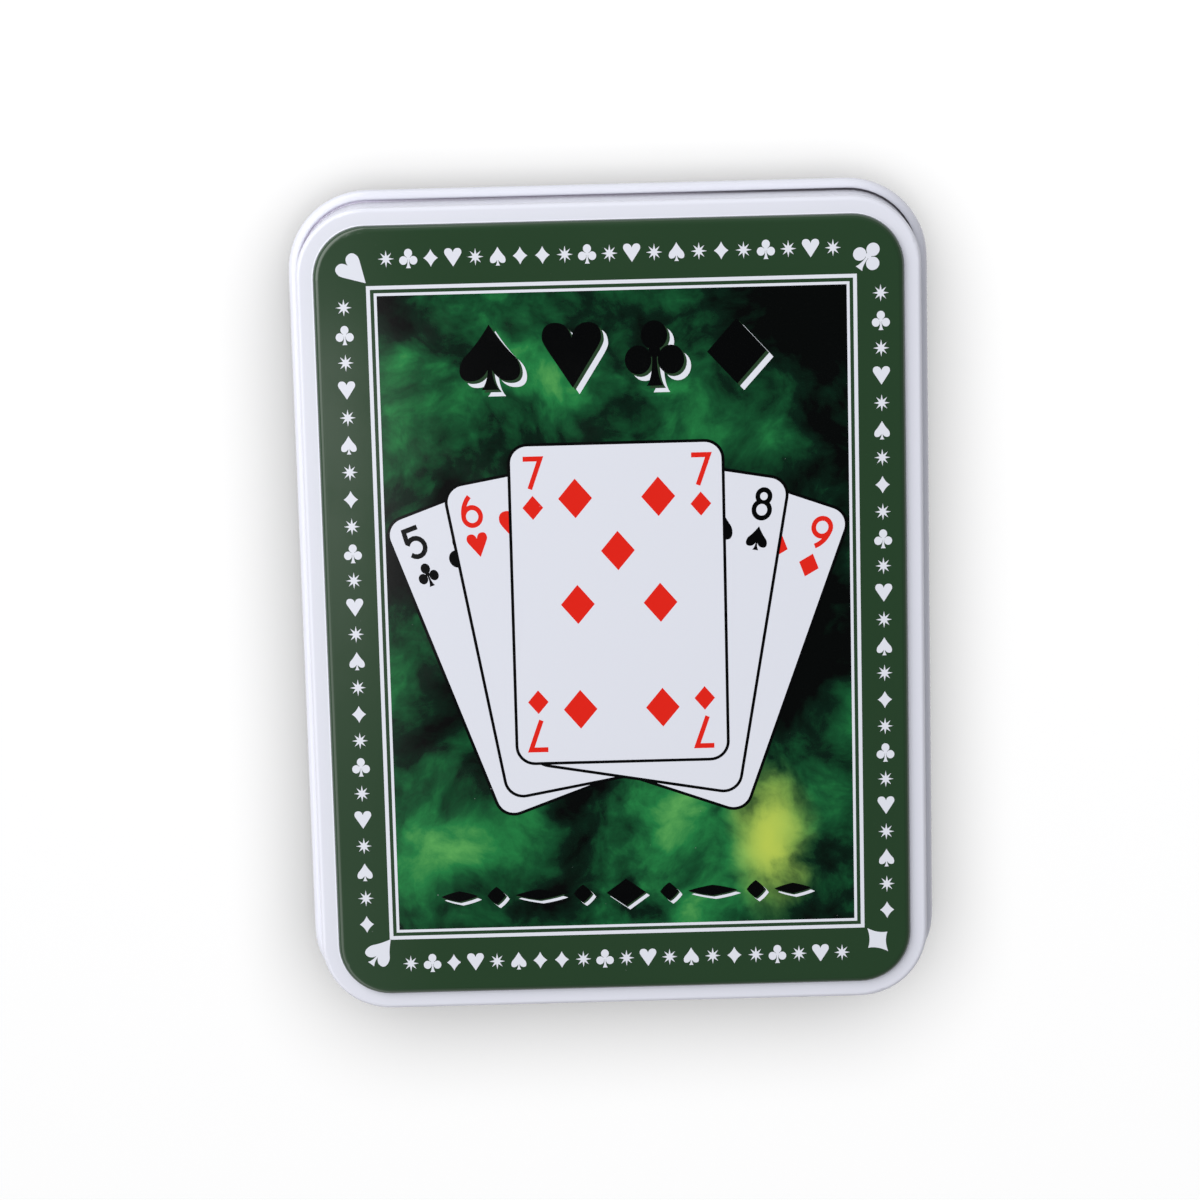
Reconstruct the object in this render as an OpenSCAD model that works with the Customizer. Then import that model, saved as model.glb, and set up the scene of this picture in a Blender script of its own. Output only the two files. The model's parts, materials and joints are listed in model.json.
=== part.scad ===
// Card game tin with a hinged lid, closed, holding two decks of plastic cards.
// X runs across the short side, Y along the long side and Z up from the table.
// The origin is under the middle of the tin. The hinge runs along the -Y side.
// Sizes go from the inside out: the cards set the tray, the tray sets the neck,
// and the neck sets the lid and the base bead.

/* [Cards] */
// Short side of a card
card_w = 57; // [50:0.5:64]
// Long side of a card
card_l = 88.9; // [80:0.1:95]
// Thickness of a card
card_t = 0.3; // [0.26:0.01:0.34]
// Air between two stacked cards
card_air = 0.01; // [0.005:0.005:0.02]
// Corner radius of a card
card_r = 3.2; // [2.6:0.1:5]
// Cards of each suit in a deck
suit_cards = 13; // [10:1:13]
// Jokers in a deck
jokers = 2; // [1:1:3]

/* [Tray] */
// Play between a deck's long sides and the tray
side_play = 1.6; // [1.2:0.1:2.5]
// Play between a deck's ends and the tray
end_play = 1.95; // [1.4:0.05:3]
// Plastic thickness of the tray
tray_t = 0.5; // [0.4:0.05:0.7]
// Width of the centre rib over both its walls
rib_w = 4.8; // [4:0.2:12]
// Length of the finger notch in the centre rib
notch_l = 28; // [20:1:40]
// Height of the notch's floor above the tray's floor
notch_floor = 8; // [5:0.5:11]
// Air between the tray and the base's rim
tray_gap = 0.4; // [0.3:0.05:0.8]
// Height that the tray's edge stays below the top of the neck
tray_drop = 0.7; // [0.4:0.1:1.5]

/* [Base] */
// Tinplate thickness
sheet = 0.25; // [0.2:0.01:0.3]
// Height of the bead's top, on which the lid closes
ledge_z = 13.8; // [12:0.1:20]
// Depth of the groove between the bead and the neck
groove = 0.55; // [0.3:0.05:0.6]
// Height of the neck above the bead's top
neck_h = 5; // [4:0.1:6]
// Width of the neck's rolled rim
rim_d = 0.8; // [0.7:0.05:1]
// How far the half-round bead stands out from the lid's skirt
bead_out = 1.75; // [1.68:0.01:2.2]
// Corner radius of the tin over the bead
corner_r = 12.8; // [11:0.1:13.4]
// Outer radius of the bend between wall and bottom
foot_bend = 1.8; // [1.2:0.1:2.4]
// Width of the flat ring that the tin stands on
foot_w = 4; // [3:0.1:6]
// Height of the recess in the bottom
recess = 0.6; // [0.5:0.05:1]

/* [Lid] */
// Gap between the closed lid and the bead's top
seam = 0.3; // [0.2:0.05:0.5]
// Height of the lid's skirt, from its hem to the shoulder
skirt_h = 9.1; // [8:0.1:14]
// Width of the lid's rolled hem
hem_d = 0.8; // [0.7:0.05:1]
// Gap between the hem and the neck
lid_gap = 0.35; // [0.3:0.01:0.6]
// Outer radius of the lid's edge
lid_edge = 0.7; // [0.5:0.1:1.6]
// Width of the shoulder, from the skirt to the raised panel
shoulder_w = 2.75; // [2.4:0.05:5]
// Height of the raised panel above the shoulder
panel_rise = 1.4; // [1.35:0.05:2]
// Outer radius of the panel's edge
panel_edge = 1.1; // [0.5:0.05:1.15]

/* [Hinge] */
// Diameter of the hinge wire
wire_d = 1; // [0.9:0.02:1.06]
// Radial play of the lid's knuckle on the wire
knuckle_play = 0.04; // [0.02:0.01:0.06]
// Radial play of the wire in its crimps
crimp_play = 0.02; // [0.01:0.01:0.03]
// Distance from the tin's middle to each hinge's middle
hinge_x = 22; // [14:0.5:27]
// Length of the knuckle
knuckle_l = 12; // [8:0.5:18]
// Side play of the knuckle in its slot
slot_play = 0.3; // [0.2:0.05:0.5]
// Length of each crimp
crimp_l = 2.2; // [1.5:0.1:4]
// Angle to which the lid opens
open_deg = 120; // [90:1:125]

/* [Hidden] */
$fn = 64;

// Half widths (X) and half lengths (Y), from the cards outwards
tray_hw = card_l / 2 + end_play + tray_t;
tray_hl = rib_w / 2 + side_play * 2 + card_w + tray_t;
clear_hw = tray_hw + tray_gap;
skirt_hw = clear_hw + rim_d + lid_gap + hem_d;
tin_hw = skirt_hw + bead_out;
tin_hl = tray_hl + tray_gap + rim_d + lid_gap + hem_d + bead_out;

// The walls follow a rectangle between the corner centres; d is the distance out from it
core_hw = tin_hw - corner_r;
core_hl = tin_hl - corner_r;
d_skirt = corner_r - bead_out;
d_neck = d_skirt - hem_d - lid_gap;
d_clear = d_neck - rim_d;
d_tray = d_clear - tray_gap;
d_panel = d_skirt - shoulder_w;
d_step = d_skirt - foot_bend - foot_w;

// Heights
half = sheet / 2;
tray_z = recess + sheet;
deck_z = tray_z + tray_t;
pitch = card_t + card_air;
upper_deck = 1;
lower_deck = -1;
neck_z = ledge_z + neck_h;
tray_h = neck_z - tray_drop - tray_z;
hem_z = ledge_z + seam;
shoulder_z = hem_z + skirt_h;
panel_z = shoulder_z + panel_rise;

// Bends of the sheet, measured on its middle line
bend = 0.375;
rim_bend = (rim_d - sheet) / 2;
hem_bend = (hem_d - sheet) / 2;

// The knuckle is the skirt's own sheet rolled round the wire, so the wire's place follows the skirt
wire_r = wire_d / 2;
knuckle_in = wire_r + knuckle_play;
knuckle_out = knuckle_in + sheet;
d_wire = d_skirt + knuckle_in;
bead_r = corner_r - d_wire;
wire_y = -(core_hl + d_wire);
wire_z = ledge_z - bead_r;
slot_l = knuckle_l + 2 * slot_play;

// Inside the bead the sheet dips at once into the groove, in two quarter turns
groove_bend = groove / 2;
d_lip = d_wire - groove_bend;
groove_z = ledge_z - groove - half;

// Hinge details
crimp_wall = 0.4;
wire_end_gap = 0.1;
notch_h = hem_d + slot_play;
wire_l = slot_l + 2 * (crimp_l - crimp_wall - wire_end_gap);
// The open lid's tongue stops just above the slot's lower edge
stop_gap = 0.05;
stop_z = bead_r * sin(180 - open_deg - acos(knuckle_in / bead_r)) - stop_gap;

// A sheet seen edge on: points are corners of its middle line as [d, z, bend radius]
module sheet_line(points) {
    last = len(points) - 1;
    for (i = [0 : last - 1]) {
        a = points[i];
        b = points[i + 1];
        u = unit(b - a);
        start = i == 0 ? 0 : corner_tangent(points, i);
        end = i + 1 == last ? 0 : corner_tangent(points, i + 1);
        run = norm([b[0] - a[0], b[1] - a[1]]) - start - end;
        if (run > 0.001)
            translate([a[0] + u[0] * start, a[1] + u[1] * start])
                rotate(atan2(u[1], u[0]))
                    translate([0, -half])
                        square([run, sheet]);
    }
    for (i = [1 : last - 1]) sheet_bend(points, i);
}

function unit(v) = [v[0], v[1]] / norm([v[0], v[1]]);
function heading(points, i) = unit(points[i + 1] - points[i]);
function turn_sign(points, i) =
    let (u = heading(points, i - 1), v = heading(points, i))
    sign(u[0] * v[1] - u[1] * v[0]);
function turn_angle(points, i) = acos(heading(points, i - 1) * heading(points, i));
function corner_tangent(points, i) = points[i][2] * tan(turn_angle(points, i) / 2);

// One bend of up to a quarter turn, as a sector of a ring
module sheet_bend(points, i) {
    p = points[i];
    r = p[2];
    u = heading(points, i - 1);
    side = turn_sign(points, i);
    swing = turn_angle(points, i);
    back = corner_tangent(points, i);
    first = atan2(u[1], u[0]) - 90 * side;
    far = 4 * (r + sheet);
    translate([p[0] - u[0] * back - side * r * u[1], p[1] - u[1] * back + side * r * u[0]])
        intersection() {
            difference() {
                circle(r + half);
                if (r > half) circle(r - half);
            }
            polygon([[0, 0], far * [cos(first), sin(first)],
                far * [cos(first + side * swing / 2), sin(first + side * swing / 2)],
                far * [cos(first + side * swing), sin(first + side * swing)]]);
        }
}

// Carries a profile (d across, z up) round the rounded rectangle of the tin
module round_tin() {
    for (sx = [-1, 1], sy = [-1, 1])
        translate([sx * core_hw, sy * core_hl, 0])
            rotate(sx > 0 ? (sy > 0 ? 0 : 270) : (sy > 0 ? 90 : 180))
                rotate_extrude(angle = 90) children();
    for (s = [0, 1]) {
        rotate(s * 180) translate([core_hw, core_hl, 0])
            rotate([90, 0, 0]) linear_extrude(2 * core_hl) children();
        rotate(s * 180) translate([-core_hw, core_hl, 0])
            rotate([90, 0, 90]) linear_extrude(2 * core_hw) children();
    }
}

// A flat plate that fills the tin between the corner centres
module core_plate(z, t) {
    translate([-core_hw, -core_hl, z]) cube([2 * core_hw, 2 * core_hl, t]);
}

// A plate with four equal corner radii, standing on z = 0
module round_plate(w, l, r, t) {
    linear_extrude(t) {
        square([w - 2 * r, l], center = true);
        square([w, l - 2 * r], center = true);
        for (sx = [-1, 1], sy = [-1, 1])
            translate([sx * (w / 2 - r), sy * (l / 2 - r)]) circle(r);
    }
}

// Puts children on a hinge's wire; there -X points out of the tin and Y runs along the wire
module at_hinge(side) {
    translate([side * hinge_x, wire_y, wire_z]) rotate(90) children();
}

module at_hinges() {
    for (side = [-1, 1]) at_hinge(side) children();
}

// A cylinder along Y, centred
module along_y(r, l) {
    rotate([90, 0, 0]) cylinder(r = r, h = l, center = true);
}

module base_profile() {
    sheet_line([
        [0, recess + half, 0],
        [d_step, recess + half, recess / 2],
        [d_step, half, recess / 2],
        [d_skirt - half, half, foot_bend - half],
        [d_skirt - half, ledge_z - 2 * bead_r + half, bend],
        [corner_r - half, ledge_z - 2 * bead_r + half, bead_r - half],
        [corner_r - half, ledge_z - half, bead_r - half],
        [d_lip, ledge_z - half, groove_bend],
        [d_lip, groove_z, groove_bend],
        [d_neck - half, groove_z, bend],
        [d_neck - half, neck_z - half, rim_bend],
        [d_clear + half, neck_z - half, rim_bend],
        [d_clear + half, neck_z - rim_d + half, rim_bend],
        [d_clear + rim_d / 2, neck_z - rim_d + half, 0]
    ]);
}

// Where the lid's tongue passes the groove and the upper half of the bead
module hinge_slot() {
    inner = knuckle_out + slot_play;
    translate([-2 * bead_r, -slot_l / 2, stop_z])
        cube([2 * bead_r + inner, slot_l, bead_r - stop_z + seam / 2]);
}

module crimp(side) {
    translate([0, side * (slot_l + crimp_l) / 2, 0]) along_y(bead_r - half, crimp_l);
}

module crimp_bore() {
    along_y(wire_r + crimp_play, wire_l + 2 * wire_end_gap);
}

module base_shell() {
    color("white") difference() {
        union() {
            round_tin() base_profile();
            core_plate(recess, sheet);
            at_hinges() {
                crimp(-1);
                crimp(1);
            }
        }
        at_hinges() {
            hinge_slot();
            crimp_bore();
        }
    }
}

module lid_profile() {
    sheet_line([
        [0, panel_z - half, 0],
        [d_panel - half, panel_z - half, panel_edge - half],
        [d_panel - half, shoulder_z - half, bend],
        [d_skirt - half, shoulder_z - half, lid_edge - half],
        [d_skirt - half, hem_z + half, hem_bend],
        [d_skirt - hem_d + half, hem_z + half, hem_bend],
        [d_skirt - hem_d + half, hem_z + hem_d - half, hem_bend],
        [d_skirt - hem_d / 2, hem_z + hem_d - half, 0]
    ]);
}

// The hem is cut away over the tongue, with a relief cut at either side of it
module hem_notch() {
    translate([0, -slot_l / 2, hem_z - wire_z - seam / 2])
        cube([knuckle_in + hem_d + lid_gap / 2, slot_l, seam / 2 + notch_h]);
}

// The skirt's sheet runs on down to the wire and is rolled round it
module tongue() {
    translate([knuckle_in, -knuckle_l / 2, 0])
        cube([sheet, knuckle_l, hem_z - wire_z + notch_h + sheet]);
    along_y(knuckle_out, knuckle_l);
}

module lid_shell() {
    color("darkgreen") difference() {
        union() {
            difference() {
                union() {
                    round_tin() lid_profile();
                    core_plate(panel_z - sheet, sheet);
                }
                at_hinges() hem_notch();
            }
            at_hinges() tongue();
        }
        at_hinges() along_y(knuckle_in, slot_l);
    }
}

module hinge_wire(side) {
    color("silver") at_hinge(side) along_y(wire_r, wire_l);
}

module hinge_wire_left() {
    hinge_wire(-1);
}

module hinge_wire_right() {
    hinge_wire(1);
}

// The tray stands on the tin's bottom: two card wells with a hollow rib between them
module card_tray() {
    color("black") translate([0, 0, tray_z]) difference() {
        tray_block(d_tray, 0);
        difference() {
            tray_block(d_tray - tray_t, tray_t);
            rib_span(tray_hw, rib_w, tray_h + tray_t);
        }
        rib_hollow();
        finger_notch();
    }
}

// A solid block in the tray's outline, from z up to the tray's edge or past it
module tray_block(d, z) {
    translate([0, 0, z]) round_plate(2 * (core_hw + d), 2 * (core_hl + d), d, tray_h);
}

// A bar under or in the rib: half length, width and height
module rib_span(hl, w, h) {
    translate([-hl, -w / 2, 0]) cube([2 * hl, w, h]);
}

// The space under the rib, one plastic thickness inside its top, walls and notch
module rib_hollow() {
    hl = tray_hw - tray_t;
    w = rib_w - 2 * tray_t;
    difference() {
        rib_span(hl, w, tray_h - tray_t);
        translate([0, 0, notch_floor - tray_t]) rib_span(notch_l / 2 + tray_t, rib_w, tray_h);
    }
}

// Opens the rib from above for two fingers
module finger_notch() {
    translate([0, 0, notch_floor]) rib_span(notch_l / 2, rib_w, tray_h);
}

// Cards number first to first + count - 1 of a deck, counted from the tray's floor
module cards(side, first, count) {
    for (i = [first : first + count - 1])
        translate([0, side * (rib_w / 2 + side_play + card_w / 2), deck_z + i * pitch])
            round_plate(card_l, card_w, card_r, card_t);
}

// The suits lie on the jokers in the order 0 to 3
module suit(side, order) {
    cards(side, jokers + order * suit_cards, suit_cards);
}

module deck_a_jokers() {
    color("gold") cards(upper_deck, 0, jokers);
}

module deck_a_spades() {
    color("ivory") suit(upper_deck, 0);
}

module deck_a_hearts() {
    color("mistyrose") suit(upper_deck, 1);
}

module deck_a_clubs() {
    color("lavender") suit(upper_deck, 2);
}

module deck_a_diamonds() {
    color("linen") suit(upper_deck, 3);
}

module deck_b_jokers() {
    color("gold") cards(lower_deck, 0, jokers);
}

module deck_b_spades() {
    color("ivory") suit(lower_deck, 0);
}

module deck_b_hearts() {
    color("mistyrose") suit(lower_deck, 1);
}

module deck_b_clubs() {
    color("lavender") suit(lower_deck, 2);
}

module deck_b_diamonds() {
    color("linen") suit(lower_deck, 3);
}

base_shell();
lid_shell();
hinge_wire_left();
hinge_wire_right();
card_tray();
deck_a_spades();
deck_a_hearts();
deck_a_clubs();
deck_a_diamonds();
deck_a_jokers();
deck_b_spades();
deck_b_hearts();
deck_b_clubs();
deck_b_diamonds();
deck_b_jokers();
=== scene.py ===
import json
import math

import bmesh
import bpy
import numpy as np
from mathutils import Matrix, Vector, geometry

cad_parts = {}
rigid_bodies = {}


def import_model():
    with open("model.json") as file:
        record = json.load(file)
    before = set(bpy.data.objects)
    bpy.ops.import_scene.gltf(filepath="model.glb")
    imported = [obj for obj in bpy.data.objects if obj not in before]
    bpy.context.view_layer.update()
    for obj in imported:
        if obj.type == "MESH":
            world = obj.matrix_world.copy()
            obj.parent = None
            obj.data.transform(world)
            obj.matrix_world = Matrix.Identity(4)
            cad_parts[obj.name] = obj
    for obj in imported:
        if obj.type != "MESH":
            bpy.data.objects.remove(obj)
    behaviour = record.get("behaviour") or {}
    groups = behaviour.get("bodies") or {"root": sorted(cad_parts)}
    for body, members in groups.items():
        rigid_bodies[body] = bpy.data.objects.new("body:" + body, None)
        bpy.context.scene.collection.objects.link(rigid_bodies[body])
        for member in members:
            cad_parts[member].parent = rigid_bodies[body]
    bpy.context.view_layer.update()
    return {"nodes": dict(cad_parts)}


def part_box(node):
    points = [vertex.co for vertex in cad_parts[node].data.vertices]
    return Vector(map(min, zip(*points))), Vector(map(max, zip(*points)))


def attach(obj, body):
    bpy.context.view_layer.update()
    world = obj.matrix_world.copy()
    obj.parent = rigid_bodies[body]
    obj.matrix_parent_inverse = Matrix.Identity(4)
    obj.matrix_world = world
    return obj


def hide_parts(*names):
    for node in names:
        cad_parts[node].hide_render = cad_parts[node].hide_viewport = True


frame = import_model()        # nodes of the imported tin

scene = bpy.context.scene
MM = 0.001

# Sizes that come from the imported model, in metres
BASE_LOW, BASE_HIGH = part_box("base_shell")
LID_LOW, LID_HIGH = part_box("lid_shell")
TRAY_LOW, TRAY_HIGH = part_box("card_tray")
WIRE_LOW, WIRE_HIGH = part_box("hinge_wire_left")
PANEL_Z = LID_HIGH.z
NECK_Z = BASE_HIGH.z
BEAD_Z = (WIRE_LOW.z + WIRE_HIGH.z) / 2

# The rectangle between the corner centres, from which the tin's walls keep their distance
CORNER_R = 12.8 * MM
CORE = Vector((BASE_HIGH.x - CORNER_R, BASE_HIGH.y - CORNER_R))

# The lid's raised panel, its shoulder and its rolled hem
SHOULDER_W = 2.75 * MM
PANEL_RISE = 1.4 * MM
SKIRT_H = 9.1 * MM
HEM_D = 0.8 * MM
SKIRT_D = LID_HIGH.x - CORE.x
PANEL_D = SKIRT_D - SHOULDER_W
SHOULDER_Z = PANEL_Z - PANEL_RISE
HEM_TOP = SHOULDER_Z - SKIRT_H + HEM_D

# The base's ledge under the hem, and the groove in it between the neck and the lip of the bead
SEAM = 0.3 * MM
LEDGE_Z = HEM_TOP - HEM_D - SEAM
NECK_D = SKIRT_D - 1.15 * MM
LIP_D = SKIRT_D + 0.54 * MM

# The print lies this thick on the panel, and its underside just inside the sheet
PRINT_T = 0.012 * MM
PRINT_HIGH = PANEL_Z
PRINT_LOW = PANEL_Z - 0.032 * MM
SHEET_TOP = PANEL_Z - PRINT_T


# Meshes and pieces

def new_object(name, mesh):
    """Puts a mesh into the scene under its own name."""
    made = bpy.data.objects.new(name, mesh)
    scene.collection.objects.link(made)
    return made


def merged_copy(node, name):
    """A CAD node's mesh with its loose triangles joined and its true surface normals kept."""
    source = frame["nodes"][node].data
    count = len(source.loops)
    points = np.zeros(len(source.vertices) * 3)
    source.vertices.foreach_get("co", points)
    corners = np.zeros(count, int)
    source.loops.foreach_get("vertex_index", corners)
    normals = np.zeros(count * 3)
    source.corner_normals.foreach_get("vector", normals)
    grid = np.round(points.reshape(-1, 3), 8)
    joined, place = np.unique(grid, axis=0, return_inverse=True)
    faces = place.reshape(-1)[corners].reshape(-1, 3)
    whole = (faces[:, 0] != faces[:, 1]) & (faces[:, 1] != faces[:, 2]) & (faces[:, 2] != faces[:, 0])
    mesh = bpy.data.meshes.new(name)
    mesh.from_pydata(joined.tolist(), [], faces[whole].tolist())
    mesh.normals_split_custom_set(normals.reshape(-1, 3, 3)[whole].reshape(-1, 3).tolist())
    return mesh


def paint_faces(mesh, materials, choose):
    """Gives each face the material whose number choose(centre, normal) returns."""
    for material in materials:
        mesh.materials.append(material)
    for face in mesh.polygons:
        face.material_index = choose(face.center, face.normal)


def outward(point):
    """Direction straight out of the tin at a point, and the point's distance from the core rectangle."""
    away = Vector((
        point.x - max(-CORE.x, min(CORE.x, point.x)),
        point.y - max(-CORE.y, min(CORE.y, point.y)),
        0,
    ))
    distance = away.length
    return (away / distance if distance > 1e-7 else Vector((0, 0, 0))), distance


def finish_piece(piece, body, slot, *nodes):
    """Lets a piece ride on a body and stand for CAD nodes, which it hides; slot is not used."""
    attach(piece, body)
    if nodes:
        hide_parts(*nodes)
    return piece


# Shader building

def node(tree, kind, inputs=None, **settings):
    """Adds a node. Each input is a value to set or an output socket to link."""
    made = tree.nodes.new(kind)
    for name, value in settings.items():
        setattr(made, name, value)
    for key, value in (inputs or {}).items():
        if isinstance(value, bpy.types.NodeSocket):
            tree.links.new(value, made.inputs[key])
        else:
            made.inputs[key].default_value = value
    return made


def maths(tree, operation, first, second=0.0, third=0.0):
    """One step of arithmetic."""
    return node(tree, "ShaderNodeMath", {0: first, 1: second, 2: third}, operation=operation).outputs[0]


def vector_maths(tree, operation, first, second):
    """One step of arithmetic on vectors. SCALE takes a number as its second value."""
    key = "Scale" if operation == "SCALE" else 1
    made = node(tree, "ShaderNodeVectorMath", {0: first, key: second}, operation=operation)
    return made.outputs["Value" if operation in ("DISTANCE", "DOT_PRODUCT") else "Vector"]


def ramp(tree, value, low, high, to_low=0.0, to_high=1.0):
    """Maps a value smoothly from one range to another."""
    made = node(tree, "ShaderNodeMapRange", {
        "Value": value,
        "From Min": low,
        "From Max": high,
        "To Min": to_low,
        "To Max": to_high,
    }, interpolation_type="SMOOTHSTEP")
    return made.outputs["Result"]


def mixed(tree, factor, first, second):
    """Mixes two colours, given as sockets or as linear values."""
    made = node(tree, "ShaderNodeMix", {"Factor": factor}, data_type="RGBA")
    for key, value in (("A", first), ("B", second)):
        socket = [s for s in made.inputs if s.name == key and s.type == "RGBA"][0]
        if isinstance(value, bpy.types.NodeSocket):
            tree.links.new(value, socket)
        else:
            socket.default_value = (*value, 1)
    return [s for s in made.outputs if s.type == "RGBA"][0]


def stretched(tree, vector, scale, turn=0.0):
    """Coordinates turned about Z and scaled along each axis."""
    made = node(tree, "ShaderNodeMapping", {
        "Vector": vector,
        "Rotation": (0, 0, turn),
        "Scale": scale,
    })
    return made.outputs[0]


def noise(tree, vector, scale, detail=2.0, roughness=0.5):
    """Fractal noise from 0 to 1."""
    made = node(tree, "ShaderNodeTexNoise", {
        "Vector": vector,
        "Scale": scale,
        "Detail": detail,
        "Roughness": roughness,
    })
    return made.outputs["Fac"]


def new_group(name, inputs, outputs):
    """A shader group with named sockets. Inputs are name: default, where None stands for a vector."""
    group = bpy.data.node_groups.new(name, "ShaderNodeTree")
    for label, default in inputs.items():
        kind = "NodeSocketVector" if default is None else "NodeSocketFloat"
        socket = group.interface.new_socket(label, in_out="INPUT", socket_type=kind)
        if default is not None:
            socket.default_value = default
    for label in outputs:
        group.interface.new_socket(label, in_out="OUTPUT", socket_type="NodeSocketFloat")
    entry = group.nodes.new("NodeGroupInput")
    leave = group.nodes.new("NodeGroupOutput")
    return group, entry.outputs, leave.inputs


def placed_group(tree, group, **values):
    """Places a group in a material with its own values."""
    made = tree.nodes.new("ShaderNodeGroup")
    made.node_tree = group
    for label, value in values.items():
        if isinstance(value, bpy.types.NodeSocket):
            tree.links.new(value, made.inputs[label])
        else:
            made.inputs[label].default_value = value
    return made.outputs


def make_dust_group():
    """Sparse specks of dust: Cells per metre, Size in cells and the Share of cells that hold one."""
    group, given, out = new_group(
        "dust_specks", {"Vector": None, "Cells": 400.0, "Size": 0.1, "Share": 0.2}, ["Mask"])
    cell = node(group, "ShaderNodeTexVoronoi", {"Vector": given["Vector"], "Scale": given["Cells"]})
    chance = node(group, "ShaderNodeSeparateColor", {"Color": cell.outputs["Color"]}).outputs
    here = maths(group, "LESS_THAN", chance[0], given["Share"])
    reach = maths(group, "MULTIPLY", given["Size"], maths(group, "MULTIPLY_ADD", chance[1], 0.8, 0.4))
    spot = ramp(group, maths(group, "DIVIDE", cell.outputs["Distance"], reach), 1.0, 0.6)
    group.links.new(maths(group, "MULTIPLY", here, spot), out["Mask"])
    return group


def make_hairline_group():
    """Short fine scratches in two directions: Cells per metre, line Width in cells and Share."""
    group, given, out = new_group(
        "hairline_scratches", {"Vector": None, "Cells": 250.0, "Width": 0.02, "Share": 0.1}, ["Mask"])
    lines = []
    for turn in (0.6, -0.9):
        along = stretched(group, given["Vector"], (0.06, 1.0, 0.06), turn)
        cell = node(group, "ShaderNodeTexVoronoi", {"Vector": along, "Scale": given["Cells"]})
        chance = node(group, "ShaderNodeSeparateColor", {"Color": cell.outputs["Color"]}).outputs
        here = maths(group, "LESS_THAN", chance[2], given["Share"])
        line = ramp(group, maths(group, "DIVIDE", cell.outputs["Distance"], given["Width"]), 1.0, 0.5)
        lines.append(maths(group, "MULTIPLY", here, line))
    group.links.new(maths(group, "MAXIMUM", lines[0], lines[1]), out["Mask"])
    return group


def make_relief_group():
    """Height of a lacquered sheet in metres: fine Peel, long Wave of the tin, and a Smudge mask."""
    group, given, out = new_group(
        "sheet_relief", {"Vector": None, "Peel": 1e-6, "Wave": 1e-5}, ["Height", "Smudge"])
    fine = noise(group, given["Vector"], 1400.0, 2.0)
    long = noise(group, given["Vector"], 26.0, 1.0)
    sway = maths(group, "MULTIPLY", long, given["Wave"])
    group.links.new(maths(group, "MULTIPLY_ADD", fine, given["Peel"], sway), out["Height"])
    clouds = noise(group, given["Vector"], 55.0, 5.0, 0.65)
    group.links.new(ramp(group, clouds, 0.45, 0.75), out["Smudge"])
    return group


def make_grain_group():
    """Rolling grain of bare tinplate along Y: Value for shade and Height in metres."""
    group, given, out = new_group(
        "rolled_grain", {"Vector": None, "Lines": 3000.0, "Depth": 1e-6}, ["Value", "Height"])
    along = stretched(group, given["Vector"], (1.0, 0.02, 1.0))
    lines = noise(group, along, given["Lines"], 3.0, 0.6)
    group.links.new(lines, out["Value"])
    group.links.new(maths(group, "MULTIPLY", lines, given["Depth"]), out["Height"])
    return group


DUST = make_dust_group()
HAIRLINES = make_hairline_group()
RELIEF = make_relief_group()
GRAIN = make_grain_group()


def linear(*rgb):
    """A colour given as it looks, 0 to 255, as linear light."""
    parts = [c / 255 for c in rgb]
    return tuple(p / 12.92 if p <= 0.04045 else ((p + 0.055) / 1.055) ** 2.4 for p in parts)


def new_material(name, **constants):
    """A material with its own shader; constants go on the shader's sockets."""
    material = bpy.data.materials.new(name)
    material.use_nodes = True
    tree = material.node_tree
    tree.nodes.clear()
    shader = tree.nodes.new("ShaderNodeBsdfPrincipled")
    result = tree.nodes.new("ShaderNodeOutputMaterial")
    tree.links.new(shader.outputs["BSDF"], result.inputs["Surface"])
    for label, value in constants.items():
        shader.inputs[label.replace("_", " ")].default_value = value
    place = node(tree, "ShaderNodeTexCoord").outputs["Object"]
    return material, tree, shader.inputs, place


def bumped(tree, height, distance=1.0):
    """A normal from a height in metres."""
    made = node(tree, "ShaderNodeBump", {"Height": height, "Strength": 1.0, "Distance": distance})
    return made.outputs["Normal"]


DUST_COLOUR = linear(200, 202, 205)


def varnished(name, paint, gloss=0.07, shine=0.5):
    """Printed tin under clear varnish. paint is a linear colour or a function of tree and place."""
    material, tree, shader, place = new_material(name, Specular_IOR_Level=shine)
    colour = paint(tree, place) if callable(paint) else paint
    specks = placed_group(tree, DUST, Vector=place, Cells=330.0, Size=0.035, Share=0.14)["Mask"]
    lint = placed_group(tree, DUST, Vector=place, Cells=1100.0, Size=0.07, Share=0.025)["Mask"]
    scratch = placed_group(tree, HAIRLINES, Vector=place, Cells=150.0, Width=0.006, Share=0.05)["Mask"]
    worn = 0.0
    for mask, shows in ((specks, 0.55), (lint, 0.4), (scratch, 0.3)):
        worn = maths(tree, "MAXIMUM", maths(tree, "MULTIPLY", mask, shows), worn)
    tree.links.new(mixed(tree, worn, colour, DUST_COLOUR), shader["Base Color"])
    relief = placed_group(tree, RELIEF, Vector=place, Peel=0.5e-6, Wave=3e-5)
    rough = maths(tree, "MULTIPLY_ADD", relief["Smudge"], 0.05, gloss)
    tree.links.new(maths(tree, "MULTIPLY_ADD", worn, 0.4, rough), shader["Roughness"])
    tree.links.new(bumped(tree, relief["Height"]), shader["Normal"])
    return material


def blob(tree, place, centre, radius, height=1.0):
    """A soft patch on the panel: 1 in its middle, 0 past its radius, and height times as high as wide."""
    flat = vector_maths(tree, "MULTIPLY", place, (1, 1 / height, 0))
    gap = vector_maths(tree, "DISTANCE", flat, (centre[0], centre[1] / height, 0))
    return ramp(tree, gap, radius, 0.0)


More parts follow.
